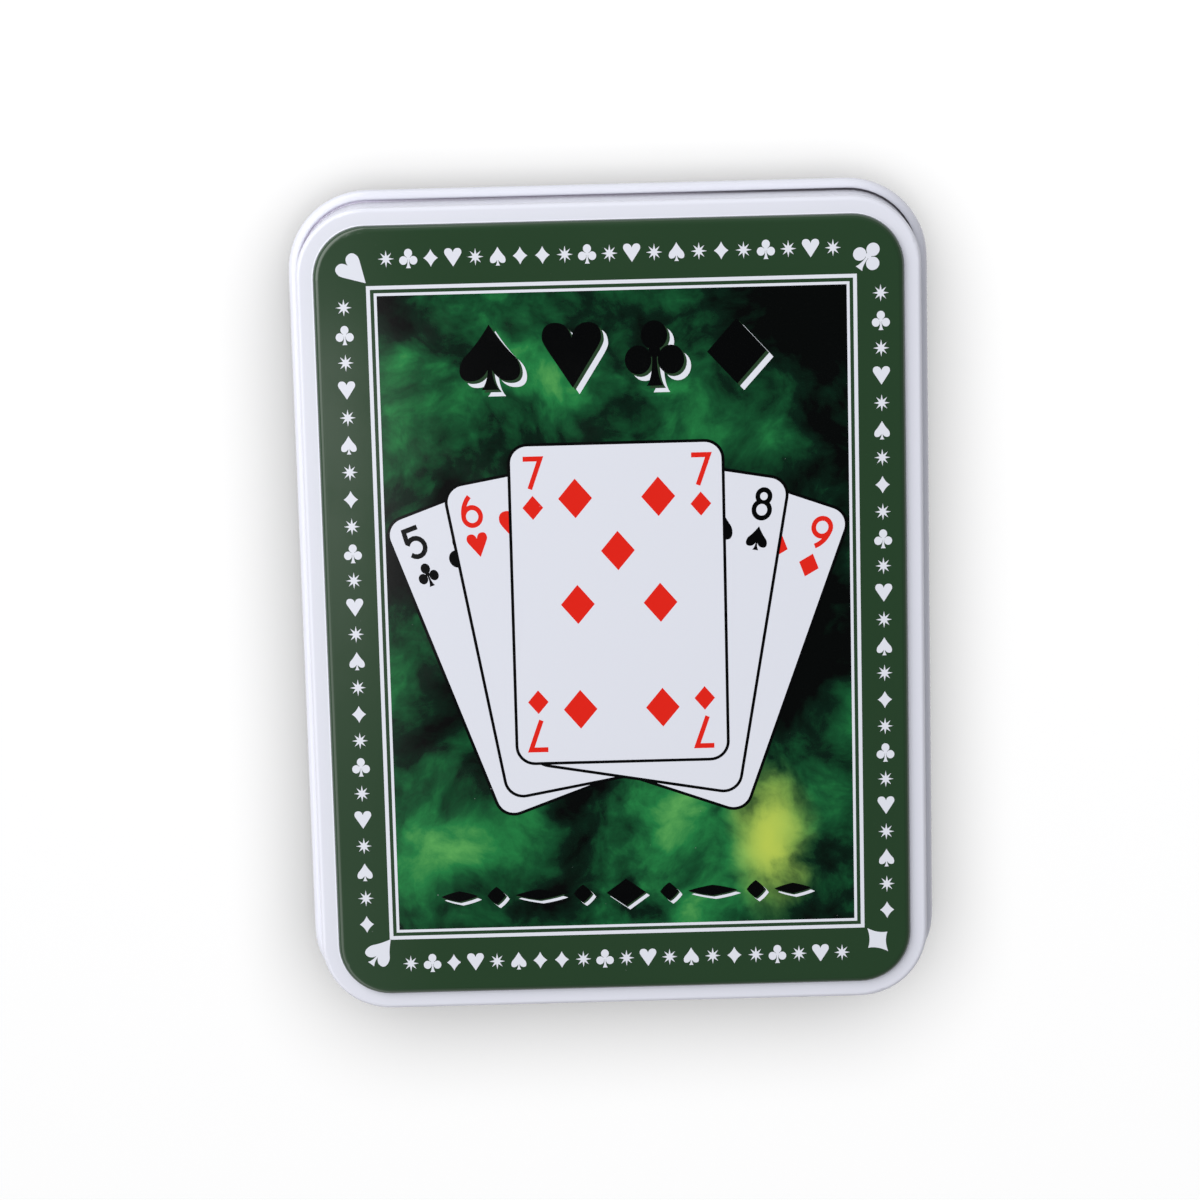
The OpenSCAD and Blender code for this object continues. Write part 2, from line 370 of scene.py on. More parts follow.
def shifted(tree, place, scale, detail, reach):
    """Coordinates pushed about by noise, which curls whatever is drawn on them."""
    drift = node(tree, "ShaderNodeTexNoise", {"Vector": place, "Scale": scale, "Detail": detail})
    push = vector_maths(tree, "SUBTRACT", drift.outputs["Color"], (0.5, 0.5, 0.5))
    return vector_maths(tree, "ADD", place, vector_maths(tree, "SCALE", push, reach))


def smoke(tree, place):
    """Green smoke in puffs over a near-black ground, thick in places and with one warm glow."""
    curled = shifted(tree, shifted(tree, place, 26.0, 2.0, 0.018), 110.0, 3.0, 0.0055)
    veil = noise(tree, curled, 42.0, 8.0, 0.62)
    puffs = node(tree, "ShaderNodeTexVoronoi", {
        "Vector": curled,
        "Scale": 110.0,
        "Detail": 2.0,
        "Roughness": 0.55,
        "Smoothness": 0.6,
    }, feature="SMOOTH_F1").outputs["Distance"]
    density = maths(tree, "MULTIPLY_ADD", puffs, -0.36, maths(tree, "MULTIPLY_ADD", veil, 2.2, -0.55))
    for centre, radius, weight in SMOKE_BANKS:
        density = maths(tree, "MULTIPLY_ADD", blob(tree, curled, centre, radius), weight, density)
    made = node(tree, "ShaderNodeValToRGB", {"Fac": density})
    stops = made.color_ramp.elements
    for position, shade in SMOKE_SHADES[2:]:
        stops.new(position)
    for stop, (position, shade) in zip(stops, SMOKE_SHADES):
        stop.position = position
        stop.color = (*linear(*shade), 1)
    warm = maths(tree, "MULTIPLY", blob(tree, curled, *GLOW_PLACE), ramp(tree, density, 0.3, 0.85))
    return mixed(tree, warm, made.outputs["Color"], GLOW)


# Banks of smoke: centre, radius and weight, on the panel
SMOKE_BANKS = [
    ((-0.032, 0.040), 0.028, 0.22),
    ((0.004, 0.044), 0.032, 0.10),
    ((0.034, 0.020), 0.026, 0.22),
    ((-0.037, -0.008), 0.024, 0.12),
    ((0.014, -0.040), 0.034, 0.38),
    ((-0.022, -0.041), 0.024, 0.26),
    ((0.036, 0.052), 0.020, -0.34),
    ((-0.040, -0.053), 0.014, -0.25),
    ((0.000, -0.056), 0.016, -0.10),
    ((0.026, -0.038), 0.012, 0.28),
]
SMOKE_SHADES = [
    (0.10, (5, 7, 6)),
    (0.30, (9, 34, 22)),
    (0.50, (21, 80, 45)),
    (0.70, (36, 124, 65)),
    (0.95, (90, 166, 86)),
]
GLOW = linear(186, 204, 84)
GLOW_PLACE = ((0.026, -0.038), 0.0095, 1.7)

GREEN = linear(41, 66, 43)
WHITE_INK = linear(225, 227, 235)
WHITE_ENAMEL = linear(227, 228, 237)

green_print = varnished("green_print", GREEN)
white_ink = varnished("white_ink", WHITE_INK)
black_ink = varnished("black_ink", linear(4, 5, 5))
red_ink = varnished("red_ink", linear(226, 38, 26))
smoke_print = varnished("smoke_print", smoke)
white_enamel = varnished("white_enamel", WHITE_ENAMEL, 0.13, 0.36)


def make_bare_tin():
    """The uncoated inside of the tin: bright tinplate with its rolling grain."""
    material, tree, shader, place = new_material("bare_tin", Metallic=1.0)
    grain = placed_group(tree, GRAIN, Vector=place, Lines=2600.0, Depth=0.6e-6)
    relief = placed_group(tree, RELIEF, Vector=place, Peel=0.4e-6, Wave=2e-5)
    shade = mixed(tree, grain["Value"], (0.50, 0.50, 0.49), (0.70, 0.70, 0.685))
    tree.links.new(shade, shader["Base Color"])
    rough = maths(tree, "MULTIPLY_ADD", grain["Value"], 0.16, 0.24)
    tree.links.new(maths(tree, "MULTIPLY_ADD", relief["Smudge"], 0.12, rough), shader["Roughness"])
    tree.links.new(bumped(tree, maths(tree, "ADD", grain["Height"], relief["Height"])), shader["Normal"])
    return material


def make_wire_steel():
    """Drawn steel wire, with fine lines round it."""
    material, tree, shader, place = new_material("wire_steel", Metallic=1.0)
    lines = noise(tree, stretched(tree, place, (0.05, 1.0, 1.0)), 9000.0, 2.0)
    tree.links.new(mixed(tree, lines, (0.46, 0.46, 0.47), (0.66, 0.66, 0.67)), shader["Base Color"])
    tree.links.new(maths(tree, "MULTIPLY_ADD", lines, 0.2, 0.22), shader["Roughness"])
    tree.links.new(bumped(tree, maths(tree, "MULTIPLY", lines, 1e-6)), shader["Normal"])
    return material


def make_tray_plastic():
    """Black thermoformed sheet with a short flock."""
    material, tree, shader, place = new_material("tray_plastic", Sheen_Weight=0.25)
    flock = noise(tree, place, 5200.0, 3.0, 0.7)
    lint = placed_group(tree, DUST, Vector=place, Cells=500.0, Size=0.06, Share=0.05)["Mask"]
    shade = mixed(tree, flock, (0.008, 0.008, 0.009), (0.030, 0.030, 0.032))
    dusty = maths(tree, "MULTIPLY", lint, 0.4)
    tree.links.new(mixed(tree, dusty, shade, DUST_COLOUR), shader["Base Color"])
    tree.links.new(maths(tree, "MULTIPLY_ADD", flock, 0.25, 0.55), shader["Roughness"])
    tree.links.new(bumped(tree, maths(tree, "MULTIPLY", flock, 4e-5)), shader["Normal"])
    return material


bare_tin = make_bare_tin()
wire_steel = make_wire_steel()
tray_plastic = make_tray_plastic()


# The two shells

def make_groove_shade():
    """Painted shade and light in the groove under the lid's edge: pale at the far left, darkening unevenly
    towards the right.
    """
    material, tree, shader, place = new_material("groove_grime", Roughness=0.6)
    across = node(tree, "ShaderNodeSeparateXYZ", {"Vector": place}).outputs["X"]
    patches = maths(tree, "MULTIPLY_ADD", noise(tree, place, 60.0, 4.0), 0.03, -0.015)
    reach = maths(tree, "ADD", across, patches)
    # Painted shade: faint from the left, deep towards the right
    thin = ramp(tree, reach, -0.044, -0.020, 0.0, 0.35)
    thick = ramp(tree, reach, -0.01, 0.04, 0.0, 0.5)
    shade_amount = maths(tree, "ADD", thin, thick)
    tree.links.new(mixed(tree, shade_amount, GROOVE_LIT, GROOVE_SHADED), shader["Base Color"])
    return material


# The groove's painted light colour and its painted shade colour
GROOVE_LIT = linear(238, 233, 247)
GROOVE_SHADED = linear(34, 31, 38)
groove_grime = make_groove_shade()

# Where one finish of the shells ends and the next begins
PANEL_FOOT_D = PANEL_D + 0.2 * MM
PANEL_FOOT_Z = SHOULDER_Z + 0.12 * MM
# The groove's bounds, where its painted shade lies
GROOVE_LOW = LEDGE_Z - 0.7 * MM
GROOVE_HIGH = LEDGE_Z - 0.1 * MM
GROOVE_IN = NECK_D - 0.1 * MM
BOTTOM_RIM = 1 * MM


def make_lid_shell():
    """The lid: green panel with its rounded edge, white shoulder, skirt and hem, bare tin inside."""
    mesh = merged_copy("lid_shell", "lid_shell_dressed")
    for vertex in mesh.vertices:
        vertex.co.z = min(vertex.co.z, SHEET_TOP)

    def choose(centre, normal):
        out, distance = outward(centre)
        if centre.z < HEM_TOP:
            return 1
        if max(normal.dot(out), normal.z) < 0.2:
            return 2
        on_panel = distance < PANEL_FOOT_D and centre.z > PANEL_FOOT_Z
        return 0 if on_panel else 1

    paint_faces(mesh, [green_print, white_enamel, bare_tin], choose)
    return finish_piece(new_object("lid_shell_dressed", mesh), "lid", "green_print", "lid_shell")


def make_base_shell():
    """The base: white outside with its bead, neck and rolled rim, bare tin inside."""
    mesh = merged_copy("base_shell", "base_shell_dressed")

    def choose(centre, normal):
        out, distance = outward(centre)
        # Faces in the groove take the painted groove shade
        if GROOVE_LOW < centre.z < GROOVE_HIGH and GROOVE_IN < distance < LIP_D:
            return 2
        if centre.z > NECK_Z - HEM_D or centre.z < BOTTOM_RIM:
            return 0
        up = normal.z if centre.z > BEAD_Z else -normal.z
        return 0 if max(normal.dot(out), up) > 0.2 else 1

    paint_faces(mesh, [white_enamel, bare_tin, groove_grime], choose)
    return finish_piece(new_object("base_shell_dressed", mesh), "base", "white_enamel", "base_shell")


def make_hinge_wires():
    """The two wires, each in place of its CAD node."""
    for side in ("left", "right"):
        name = "hinge_wire_" + side
        mesh = merged_copy(name, name + "_dressed")
        mesh.materials.append(wire_steel)
        finish_piece(new_object(name + "_dressed", mesh), "base", "wire_steel", name)


make_lid_shell()
make_base_shell()
make_hinge_wires()


# Printed shapes, drawn in millimetres. A shape is a list of polygons, which print as one

def circle(x, y, r, steps=24):
    turns = [math.tau * i / steps for i in range(steps)]
    return [(x + r * math.cos(t), y + r * math.sin(t)) for t in turns]


def curve(a, pull, b, steps=8):
    """Points of a bent line from a towards b, without b."""
    points = []
    for t in (i / steps for i in range(steps)):
        shares = ((1 - t) ** 2, 2 * t * (1 - t), t * t)
        points.append(tuple(sum(s * p[k] for s, p in zip(shares, (a, pull, b))) for k in (0, 1)))
    return points


def curved_loop(corners):
    """A closed outline from corner points and, after each, the point its line is pulled towards."""
    outline = []
    for i in range(0, len(corners), 2):
        outline += curve(corners[i], corners[i + 1], corners[(i + 2) % len(corners)])
    return outline


def mirrored(half):
    """A closed outline from its right half, given as corners and pulls from end to end of its axis."""
    return curved_loop(half + [(-x, y) for x, y in half[-2:0:-1]])


def heart():
    return [mirrored([(0, 0.27), (0.06, 0.5), (0.27, 0.5), (0.5, 0.5), (0.5, 0.27),
                      (0.5, 0.2125), (0.4, 0.07), (0.2, -0.215), (0, -0.5)])]


def stem(top, neck, foot):
    """A stem that spreads from its neck to its foot, in half widths."""
    return mirrored([(0, top), (neck, top), (neck, top - 0.05), (neck, -0.38),
                     (foot, -0.5), (0, -0.5), (0, -0.5)])


def spade():
    leaf = mirrored([(0, 0.5), (0.2, 0.2), (0.4, 0.03), (0.5, -0.06), (0.51, -0.2), (0.51, -0.365),
                     (0.32, -0.365), (0.1, -0.365), (0, -0.12)])
    return [leaf, stem(-0.1, 0.035, 0.15)]


def club():
    leaf = 0.224
    return [circle(0, 0.5 - leaf, leaf), circle(-0.5 + leaf, -0.1, leaf), circle(0.5 - leaf, -0.1, leaf),
            circle(0, 0.03, 0.1), stem(0, 0.04, 0.14)]


def diamond(hollow=0.25):
    """A lozenge; hollow below 0.25 draws its sides in."""
    return [curved_loop([(0, 0.5), (-hollow, hollow), (-0.5, 0), (-hollow, -hollow),
                         (0, -0.5), (hollow, -hollow), (0.5, 0), (hollow, hollow)])]


def star():
    """Eight points, the slanting ones a little shorter."""
    outline = []
    for i in range(16):
        reach = 0.18 if i % 2 else (0.5 if i % 4 == 0 else 0.48)
        turn = math.tau * i / 16
        outline.append((reach * math.cos(turn), reach * math.sin(turn)))
    return [outline]


def rectangle(w, h):
    """A plain rectangle round the origin."""
    return [[(-w / 2, -h / 2), (w / 2, -h / 2), (w / 2, h / 2), (-w / 2, h / 2)]]


def rounded_rectangle(w, h, r, steps=10):
    """A rectangle round the origin with corners of radius r."""
    outline = []
    for quarter, (sx, sy) in enumerate(((1, 1), (-1, 1), (-1, -1), (1, -1))):
        for i in range(steps + 1):
            turn = math.pi / 2 * (quarter + i / steps)
            outline.append((sx * (w / 2 - r) + r * math.cos(turn), sy * (h / 2 - r) + r * math.sin(turn)))
    return [outline]


def moved(shape, x=0.0, y=0.0, turn=0.0, w=1.0, h=1.0):
    """Scales a shape, turns it (degrees) and moves it."""
    c, s = math.cos(math.radians(turn)), math.sin(math.radians(turn))
    return [[(x + c * px * w - s * py * h, y + s * px * w + c * py * h) for px, py in polygon]
            for polygon in shape]


def anticlockwise(polygon):
    """The same outline, turned round where it runs clockwise."""
    area = sum(a[0] * b[1] - b[0] * a[1] for a, b in zip(polygon, polygon[1:] + polygon[:1]))
    return polygon if area > 0 else polygon[::-1]


def printed_mesh(name, layers, low, high):
    """One closed thin plate of print. Layers are (shape, ink number), later ones over earlier ones."""
    points, loops, inks = [], [], []
    for shape, ink in layers:
        for polygon in shape:
            first = len(points)
            points += [Vector(p) for p in anticlockwise(polygon)]
            loops.append(list(range(first, len(points))))
            inks.append(ink)
    flat, _, triangles, _, _, owners = geometry.delaunay_2d_cdt(points, [], loops, 1, 1e-4)
    kept = [(t, inks[max(o)]) for t, o in zip(triangles, owners) if o]
    edges = {(t[i], t[i - 2]) for t, _ in kept for i in range(3)}
    count = len(flat)
    faces, numbers = [], []
    for (a, b, c), ink in kept:
        faces += [(a + count, b + count, c + count), (c, b, a)]
        numbers += [ink, ink]
        for p, q in ((a, b), (b, c), (c, a)):
            if (q, p) not in edges:
                faces.append((p, q, q + count, p + count))
                numbers.append(ink)
    solid = [(p.x * MM, p.y * MM, z) for z in (low, high) for p in flat]
    mesh = bpy.data.meshes.new(name)
    mesh.from_pydata(solid, [], faces)
    mesh.polygons.foreach_set("material_index", numbers)
    return mesh


# Frame round the picture, in millimetres: middle, half sizes and line widths
FRAME_X = 0.42
FRAME_HW = 38.55
FRAME_HL = 53.35
OUTER_LINE = 0.6
LINE_GAP = 0.57
INNER_LINE = 0.45

WHITE, GROUND, SMOKE, BLACK, RED = range(5)
INKS = [white_ink, green_print, smoke_print, black_ink, red_ink]


def frame_layers():
    """White double line with the panel's green between, and the smoke inside."""
    layers = []
    inset = 0.0
    for step, ink in ((0.0, WHITE), (OUTER_LINE, GROUND), (LINE_GAP, WHITE), (INNER_LINE, SMOKE)):
        inset += step
        layers.append((moved(rectangle(2 * (FRAME_HW - inset), 2 * (FRAME_HL - inset)), FRAME_X), ink))
    return layers


def arc(x, y, r, first, last, steps=14):
    """Points round a centre, between two angles in degrees."""
    turns = [math.radians(first + (last - first) * i / steps) for i in range(steps + 1)]
    return [(x + r * math.cos(t), y + r * math.sin(t)) for t in turns]


def ribbon(path, width):
    """The outline of a bent line of even width, with square ends and mitred corners."""
    path = [Vector(p) for p in path]
    runs = [(b - a).normalized() for a, b in zip(path, path[1:])]
    sides = [[], []]
    for point, before, after in zip(path, runs[:1] + runs, runs + runs[-1:]):
        along = (before + after).normalized()
        reach = width / 2 / along.dot(before)
        across = Vector((-along.y, along.x)) * reach
        sides[0].append(tuple(point + across))
        sides[1].append(tuple(point - across))
    return sides[0] + sides[1][::-1]


def numeral(rank, weight=0.15):
    """A plain numeral from five to nine, one unit high: its inked outlines, and the eyes open in them."""
    inner = -weight / 2
    outer = weight / 2
    if rank == 5:
        bar = [(0.25, 0.42), (-0.2, 0.42), (-0.235, 0.06)]
        return [ribbon(bar, weight), ribbon(arc(-0.01, -0.15, 0.28, 150, -145), weight)], []
    if rank == 7:
        return [ribbon([(-0.28, 0.42), (0.27, 0.42), (-0.08, -0.48)], weight)], []
    if rank == 8:
        rings = [(0, 0.23, 0.195), (0, -0.18, 0.25)]
        return tuple([circle(x, y, r + side) for x, y, r in rings] for side in (outer, inner))
    turned = 1 if rank == 6 else -1
    hook = ribbon(arc(0.5, -0.16, 0.765, 178, 128), weight)
    parts = [circle(0, -0.16, 0.27 + outer), hook], [circle(0, -0.16, 0.27 + inner)]
    return [[[(x * turned, y * turned) for x, y in polygon] for polygon in part] for part in parts]


# The fan of five printed cards, in millimetres and degrees
FAN_PIVOT = (FRAME_X, -37.5)
FAN_STEP = 10.0
FAN_REACH = 10.5
FAN_LIFT = 2.7
PRINTED_CARD = (33.5, 51.5, 2.7)
CARD_LINE = 0.48
FAN_CARDS = [(-2, 5, club, BLACK), (2, 9, diamond, RED), (-1, 6, heart, RED), (1, 8, spade, BLACK),
             (0, 7, diamond, RED)]
PIP_ROWS = {5: 2, 6: 3, 7: 3, 8: 3, 9: 4}
PIP_MIDDLES = {5: [0], 6: [], 7: [8.6], 8: [8.6, -8.6], 9: [0]}
PIP_X = 6.6
PIP_Y = 17.2
PIP_SIZE = (5.4, 6.4)
INDEX_IN = (3.4, 4.3)
INDEX_SIZE = (5.0, 5.4)
INDEX_DROP = 5.6
INDEX_SUIT = (3.3, 3.9)


def pip_places(rank):
    """The pips of a card, the lower ones upside down."""
    count = PIP_ROWS[rank]
    rows = [PIP_Y * (1 - 2 * i / (count - 1)) for i in range(count)]
    places = [(side * PIP_X, y) for side in (-1, 1) for y in rows] + [(0, y) for y in PIP_MIDDLES[rank]]
    return [(x, y, 180 if y < -0.1 else 0) for x, y in places]


def card_layers(rank, suit, ink, ends):
    """What is printed on a card: its pips, and in the corners of its shown ends its rank over its suit."""
    w, h, _ = PRINTED_CARD
    layers = [(moved(suit(), x, y, flip, *PIP_SIZE), ink) for x, y, flip in pip_places(rank)]
    for side in (-1, 1):
        for flip, end in ends:
            x, y = side * (w / 2 - INDEX_IN[0]), end * (h / 2 - INDEX_IN[1])
            for shape, colour in zip(numeral(rank), (ink, WHITE)):
                layers.append((moved(shape, x, y, flip, *INDEX_SIZE), colour))
            layers.append((moved(suit(), x, y - end * INDEX_DROP, flip, *INDEX_SUIT), ink))
    return layers


def fan_layers():
    """The cards, the outer ones first: on each a black outline, a white face and its marks."""
    w, h, r = PRINTED_CARD
    outline = rounded_rectangle(w + 2 * CARD_LINE, h + 2 * CARD_LINE, r + CARD_LINE)
    layers = []
    for number, rank, suit, ink in FAN_CARDS:
        turn = -number * FAN_STEP
        away = FAN_REACH + h / 2 + (FAN_LIFT if number == 0 else 0)
        x = FAN_PIVOT[0] - away * math.sin(math.radians(turn))
        y = FAN_PIVOT[1] + away * math.cos(math.radians(turn))
        ends = ((0, 1), (180, -1)) if number == 0 else ((0, 1),)
        card = [(outline, BLACK), (rounded_rectangle(w, h, r), WHITE)]
        card += card_layers(rank, suit, ink, ends)
        layers += [(moved(shape, x, y, turn), colour) for shape, colour in card]
    return layers


# The row of suits above the fan, and the band of lozenges below it: distance from the middle and size
SUIT_ROW_Y = 41.6
SUIT_STEP = 13.0
SUIT_SIZE = (9.4, 10.4)
BAND_Y = -46.4
BAND_MIDDLE = (6.4, 4.6)
BAND_MARKS = [(7.0, 3.0, 3.0), (14.0, 8.0, 1.8), (21.0, 3.0, 3.0), (27.0, 6.0, 1.8)]


def relief_layers(marks, depth, edge):
    """Black marks that seem to stand up: a green side of a depth below and a white edge under that."""
    under = depth + edge
    return ([(moved(mark, under, -under), WHITE) for mark in marks]
            + [(moved(mark, depth, -depth), GROUND) for mark in marks]
            + [(mark, BLACK) for mark in marks])


def band_layers():
    """A row of the four suits above the fan and a band of lozenges below."""
    suits = [moved(suit(), FRAME_X + (i - 1.5) * SUIT_STEP, SUIT_ROW_Y, 0, *SUIT_SIZE)
             for i, suit in enumerate((spade, heart, club, diamond))]
    marks = [moved(diamond(), FRAME_X, BAND_Y, 0, *BAND_MIDDLE)]
    for side in (-1, 1):
        for x, w, h in BAND_MARKS:
            marks.append(moved(diamond(0.3), FRAME_X + side * x, BAND_Y, 0, w, h))
    return relief_layers(suits, depth=0.4, edge=0.65) + relief_layers(marks, depth=0.2, edge=0.4)


def make_picture():
    """Everything printed inside the frame, as one sheet of print."""
    layers = frame_layers() + fan_layers() + band_layers()
    mesh = printed_mesh("picture_print", layers, PRINT_LOW, PRINT_HIGH)
    for ink in INKS:
        mesh.materials.append(ink)
    return finish_piece(new_object("picture_print", mesh), "lid", "green_print")


make_picture()


# Geometry trees

def new_tree(name, inputs):
    """A geometry tree with named inputs, given as name: (socket type, default or None)."""
    tree = bpy.data.node_groups.new(name, "GeometryNodeTree")
    tree.interface.new_socket("Geometry", in_out="INPUT", socket_type="NodeSocketGeometry")
    for label, (kind, default) in inputs.items():
        socket = tree.interface.new_socket(label, in_out="INPUT", socket_type=kind)
        if default is not None:
            socket.default_value = default
    tree.interface.new_socket("Geometry", in_out="OUTPUT", socket_type="NodeSocketGeometry")
    entry = tree.nodes.new("NodeGroupInput")
    leave = tree.nodes.new("NodeGroupOutput")
    return tree, entry.outputs, leave.inputs["Geometry"]


def grown(name, mesh, tree, **values):
    """Runs a geometry tree on a mesh once and returns an object that holds the plain result."""
    carrier = new_object(name, mesh)
    modifier = carrier.modifiers.new(name, "NODES")
    modifier.node_group = tree
    sockets = {s.name: s.identifier for s in tree.interface.items_tree if s.in_out == "INPUT"}
    for label, value in values.items():
        modifier[sockets[label.replace("_", " ")]] = value
    solved = carrier.evaluated_get(bpy.context.evaluated_depsgraph_get())
    result = bpy.data.meshes.new_from_object(solved)
    result.name = name
    carrier.modifiers.clear()
    carrier.data = result
    return carrier


def points_mesh(name, places, numbers):
    """Loose points that carry the number of the motif printed there."""
    mesh = bpy.data.meshes.new(name)
    mesh.from_pydata(places, [], [])
    mesh.attributes.new("motif", "INT", "POINT").data.foreach_set("value", numbers)
    return mesh


def border_tree():
    """Prints a motif of a set at each point, chosen by the point's number."""
    tree, given, out = new_tree("border_of_motifs", {
        "Motifs": ("NodeSocketCollection", None),
        "Scale": ("NodeSocketFloat", 1.0),
        "Ink": ("NodeSocketMaterial", None),
    })
    motifs = node(tree, "GeometryNodeCollectionInfo", {
        "Collection": given["Motifs"],
        "Separate Children": True,
        "Reset Children": True,
    })
    number = node(tree, "GeometryNodeInputNamedAttribute", {"Name": "motif"}, data_type="INT")
    stamped = node(tree, "GeometryNodeInstanceOnPoints", {
        "Points": given["Geometry"],
        "Instance": motifs.outputs[0],
        "Pick Instance": True,
        "Instance Index": number.outputs["Attribute"],
        "Scale": given["Scale"],
    })
    real = node(tree, "GeometryNodeRealizeInstances", {"Geometry": stamped.outputs[0]})
    inked = node(tree, "GeometryNodeSetMaterial", {"Geometry": real.outputs[0], "Material": given["Ink"]})
    tree.links.new(inked.outputs[0], out)
    return tree


# Border motifs with their width and height in millimetres, in the order of their numbers
MOTIFS = [
    ("star", star(), 2.56, 2.75),
    ("club", club(), 2.85, 3.05),
    ("diamond", diamond(0.17), 2.3, 2.8),
    ("heart", heart(), 2.7, 2.9),
    ("spade", spade(), 2.4, 2.95),
]
ROW = ("star club diamond heart star spade diamond diamond star club star heart star spade star diamond "
       "star club star heart star").split()
COLUMN = "star club star heart star spade star diamond".split() * 3

# Each side of the border: motifs, first place and last place, in millimetres
BORDER = [
    (ROW, (-34.84, 57.55), (35.27, 57.55)),
    (ROW, (-34.84, -57.45), (35.27, -57.45)),
    (COLUMN, (-41.75, 50.02), (-41.75, -50.66)),
    (COLUMN, (42.67, 50.24), (42.67, -50.46)),
]


def make_border():
    """The white border of stars and suits round the panel."""
    stock = bpy.data.collections.new("border_motifs")
    for number, (label, shape, w, h) in enumerate(MOTIFS):
        flat = printed_mesh("motif", [(moved(shape, w=w, h=h), 0)], PRINT_LOW, PRINT_HIGH)
        stock.objects.link(bpy.data.objects.new(f"motif_{number}_{label}", flat))
    names = [label for label, _, _, _ in MOTIFS]
    places, numbers = [], []
    for labels, first, last in BORDER:
        for i, label in enumerate(labels):
            t = i / (len(labels) - 1)
            places.append((*[(first[k] + t * (last[k] - first[k])) * MM for k in (0, 1)], 0))
            numbers.append(names.index(label))
    points = points_mesh("border_print", places, numbers)
    piece = grown("border_print", points, border_tree(), Motifs=stock, Ink=white_ink)
    for stamp in list(stock.objects):
        bpy.data.objects.remove(stamp)
    bpy.data.collections.remove(stock)
    return finish_piece(piece, "lid", "green_print")


# Corner motifs: shape, place, turn in degrees, width and height in millimetres
CORNERS = [
    (heart(), (-39.9, 55.65), 44, 4.3, 5.1),
    (club(), (40.76, 56.05), -37, 4.6, 4.8),
    (spade(), (-39.64, -55.32), -39, 4.15, 5.3),
    (diamond(0.16), (41.09, -55.48), 40, 4.1, 5.2),
]


def make_corner_marks():
    """The larger suit in each corner of the border."""
    layers = [(moved(shape, *place, turn, w, h), 0) for shape, place, turn, w, h in CORNERS]
    mesh = printed_mesh("corner_print", layers, PRINT_LOW, PRINT_HIGH)
    mesh.materials.append(white_ink)
    return finish_piece(new_object("corner_print", mesh), "lid", "green_print")


make_border()
make_corner_marks()


# Cards

def lattice_back(ink, paper):
    """A printed card back: a diagonal lattice with dots inside a white margin and a thin line."""
    def paint(tree, place):
        local = node(tree, "ShaderNodeSeparateXYZ", {"Vector": place}).outputs
        y = maths(tree, "SUBTRACT", maths(tree, "ABSOLUTE", local[1]), DECK_Y)
        across = maths(tree, "ABSOLUTE", local[0])
        along = maths(tree, "ABSOLUTE", y)
        side = maths(tree, "SUBTRACT", CARD_L / 2, across)
        end = maths(tree, "SUBTRACT", CARD_W / 2, along)
        edge = maths(tree, "MINIMUM", side, end)
        waves = []
        for sign in (1, -1):
            slant = maths(tree, "MULTIPLY_ADD", y, sign, local[0])
            wave = maths(tree, "PINGPONG", slant, LATTICE / 2)
            waves.append(wave)
        nearest = maths(tree, "MINIMUM", waves[0], waves[1])
        line = maths(tree, "LESS_THAN", nearest, LATTICE_LINE)
        dot = maths(tree, "GREATER_THAN", nearest, LATTICE_DOT)
        open_field = maths(tree, "MAXIMUM", line, dot)
        field = maths(tree, "MULTIPLY", maths(tree, "GREATER_THAN", edge, BACK_MARGIN),
                      maths(tree, "SUBTRACT", 1.0, open_field))
        rim = maths(tree, "COMPARE", edge, RIM_IN, RIM_HALF)
        return mixed(tree, maths(tree, "MAXIMUM", field, rim), paper, ink)
    return paint


def card_material(name, paint):
    """Glossy plastic card with a linen finish."""
    material, tree, shader, place = new_material(name)
    colour = paint(tree, place) if callable(paint) else paint
    linen = maths(tree, "MAXIMUM",
                  noise(tree, stretched(tree, place, (1, 0.1, 1)), 4000.0, 1.0),
                  noise(tree, stretched(tree, place, (0.1, 1, 1)), 4000.0, 1.0))
    specks = placed_group(tree, DUST, Vector=place, Cells=300.0, Size=0.04, Share=0.08)["Mask"]
    dusty = maths(tree, "MULTIPLY", specks, 0.4)
    tree.links.new(mixed(tree, dusty, colour, DUST_COLOUR), shader["Base Color"])
    tree.links.new(maths(tree, "MULTIPLY_ADD", linen, 0.12, 0.26), shader["Roughness"])
    tree.links.new(bumped(tree, maths(tree, "MULTIPLY", linen, 3e-6)), shader["Normal"])
    return material


CARD_W = 57 * MM
CARD_L = 88.9 * MM
CARD_R = 3.2 * MM
CARD_T = 0.3 * MM
CARD_PITCH = 0.31 * MM
CARD_SLIP = 0.25 * MM
CARD_TURN = 0.0025
LATTICE = 2.6 * MM
LATTICE_LINE = 0.22 * MM
LATTICE_DOT = LATTICE * 0.34
BACK_MARGIN = 4.4 * MM
RIM_IN = 3.7 * MM
RIM_HALF = 0.25 * MM
DECK_Y = (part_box("deck_a_jokers")[0].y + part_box("deck_a_jokers")[1].y) / 2
PAPER = linear(236, 236, 232)
card_edge = card_material("card_edge", PAPER)
BACKS = {
    "a": card_material("card_back_red", lattice_back(linear(176, 30, 34), PAPER)),
    "b": card_material("card_back_blue", lattice_back(linear(28, 58, 140), PAPER)),
}


